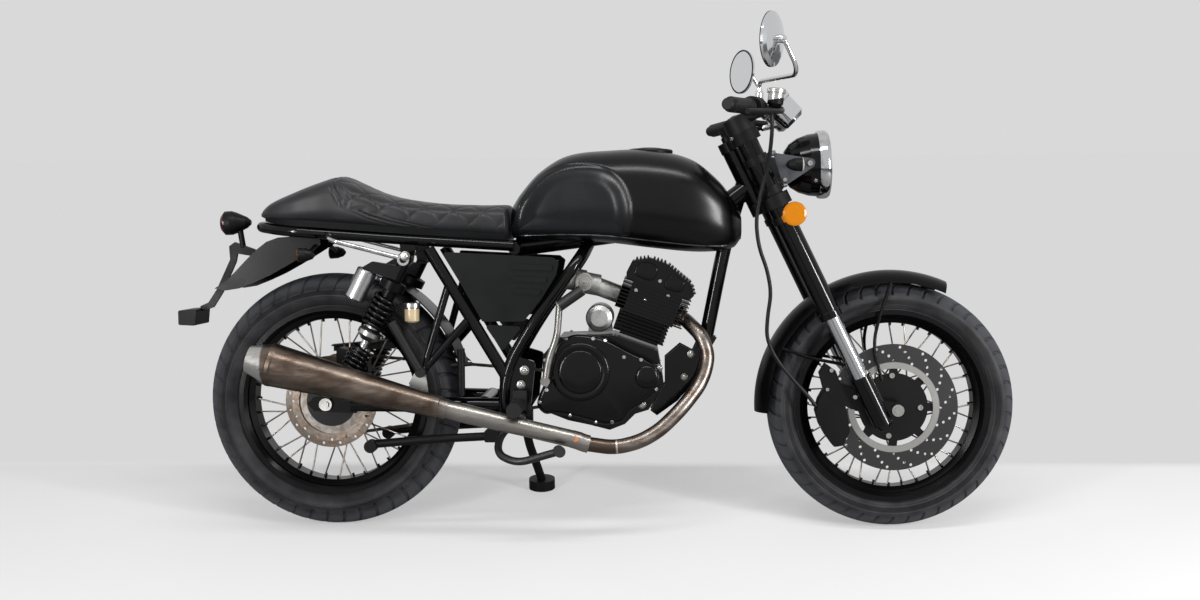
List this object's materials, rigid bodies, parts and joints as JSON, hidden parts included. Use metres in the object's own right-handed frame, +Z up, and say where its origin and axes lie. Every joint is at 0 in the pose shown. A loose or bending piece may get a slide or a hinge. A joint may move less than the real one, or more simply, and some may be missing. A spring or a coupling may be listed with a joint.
{
  "type": "cafe racer motorcycle",
  "caption": "Single-cylinder cafe racer motorcycle leaning on its side stand, with spoked wheels, low bars, a long fuel tank and a humped seat.",
  "frame": {"origin": "on the ground, at the centre of the footprint box of the motorcycle as it leans 8.75 degrees to its left on the side stand", "axes": "+X forwards along the motorcycle, +Y to its left, +Z up"},
  "size_m": [2.006, 0.8314, 1.2141],
  "materials": {
    "black_gloss": "gloss",
    "black_satin": "satin",
    "tank_paint": "satin",
    "engine_black": "satin",
    "fin_black": "matte",
    "cast_silver": "cast",
    "chrome_plate": "polished",
    "fork_chrome": "polished",
    "exhaust_steel": "brushed, heat tinted",
    "header_steel": "heat tinted",
    "disc_steel": "ground",
    "chain_steel": "oiled",
    "zinc_steel": "plated",
    "seat_leather": "matte, quilted",
    "tyre_rubber": "matte",
    "black_rubber": "matte",
    "black_plastic": "matte",
    "lamp_glass": "clear",
    "signal_amber": "translucent",
    "signal_red": "translucent",
    "spring_black": "gloss",
    "reservoir_silver": "satin"
  },
  "bodies": {
    "chassis": {"airbox": "black_plastic", "chain": "chain_steel", "chain_guard": "black_plastic", "crankcase": "engine_black", "cylinder": "fin_black", "cylinder_head": "engine_black", "engine_covers": "engine_black", "engine_mounts": "black_gloss", "exhaust_header": "header_steel", "foot_controls": "black_satin", "footrests": "black_rubber", "frame_cradle": "black_gloss", "frame_spine": "black_gloss", "fuel_cap": "black_satin", "fuel_tank": "tank_paint", "grab_rails": "chrome_plate", "plate_bracket": "black_satin", "rear_axle": "zinc_steel", "rear_brake": "black_satin", "rear_fender": "black_plastic", "rear_indicators": "signal_amber", "seat": "seat_leather", "shock_bodies": "zinc_steel", "shock_reservoirs": "reservoir_silver", "shock_springs": "spring_black", "side_covers": "black_satin", "silencer": "exhaust_steel", "starter_motor": "cast_silver", "subframe": "black_gloss", "swingarm": "black_gloss", "tail_lamp": "signal_red", "throttle_body": "cast_silver"},
    "steering": {"fork_outer_tubes": "black_gloss", "fork_stanchions": "fork_chrome", "fork_feet": "black_gloss", "front_axle": "zinc_steel", "fork_yokes": "black_satin", "handlebars": "black_satin", "bar_controls": "black_satin", "mirrors": "chrome_plate", "instruments": "chrome_plate", "headlamp_shell": "black_gloss", "headlamp_lens": "lamp_glass", "headlamp_brackets": "black_satin", "front_signals": "signal_amber", "front_fender": "black_gloss", "front_caliper": "black_satin", "front_brake_hose": "black_rubber"},
    "front_wheel": {"front_tyre": "tyre_rubber", "front_rim": "black_gloss", "front_hub": "black_gloss", "front_disc": "disc_steel"},
    "rear_wheel": {"rear_tyre": "tyre_rubber", "rear_rim": "black_gloss", "rear_hub": "black_gloss", "rear_disc": "disc_steel", "rear_sprocket": "zinc_steel"},
    "side_stand": {"side_stand": "black_satin"},
    "centre_stand": {"centre_stand": "black_satin"}
  },
  "joints": [
    {"name": "steering_turn", "type": "hinge", "parent": "chassis", "child": "steering", "pos_m": [0.35456, -0.0129, 0.82881], "axis": [-0.4352, 0.137, 0.8898], "range_deg": [-30, 30]},
    {"name": "front_wheel_spin", "type": "hinge", "parent": "steering", "child": "front_wheel", "pos_m": [0.69793, -0.09578, 0.29029], "axis": [0, 0.9884, -0.1521], "continuous": true},
    {"name": "rear_wheel_spin", "type": "hinge", "parent": "chassis", "child": "rear_wheel", "pos_m": [-0.64207, -0.09365, 0.30413], "axis": [0, 0.9884, -0.1521], "continuous": true},
    {"name": "side_stand_fold", "type": "hinge", "parent": "chassis", "child": "side_stand", "pos_m": [-0.19407, 0.00563, 0.21296], "axis": [0, 0.9884, -0.1521], "range_deg": [0, 85]},
    {"name": "centre_stand_fold", "type": "hinge", "parent": "chassis", "child": "centre_stand", "pos_m": [-0.25007, -0.10537, 0.22802], "axis": [0, -0.9884, 0.1521], "range_deg": [0, 75]}
  ]
}
